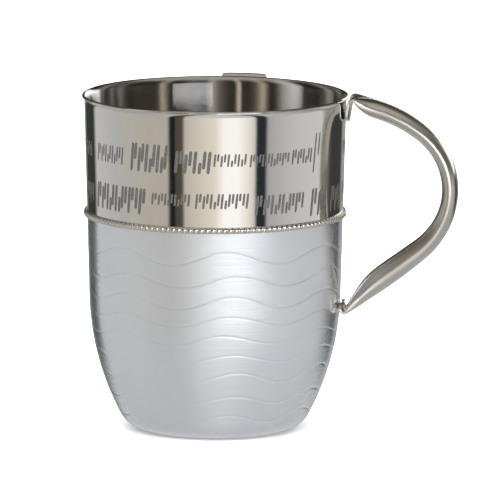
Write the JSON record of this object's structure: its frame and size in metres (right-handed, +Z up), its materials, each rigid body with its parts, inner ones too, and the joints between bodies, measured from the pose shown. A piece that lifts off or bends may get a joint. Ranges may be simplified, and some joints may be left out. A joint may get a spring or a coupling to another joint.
{
  "type": "washing cup",
  "caption": "Two-handled hand-washing cup in drawn steel: open cup with a flared lip, polished band, beaded ring, engraved waves and two bent-tube handles.",
  "frame": {"origin": "middle of the flat underside, where the cup stands", "axes": "+Z up along the cup's axis, +X out through the right-hand handle"},
  "size_m": [0.1458, 0.1452, 0.1311],
  "materials": {
    "polished_steel": "polished, with pale blue-grey lacquer below the beaded ring",
    "bead_steel": "polished",
    "satin_steel": "satin, drawn along the tube"
  },
  "bodies": {
    "root": {"cup": "polished_steel", "bead_ring": "bead_steel", "handle_right": "satin_steel", "handle_rear": "satin_steel"}
  },
  "joints": []
}
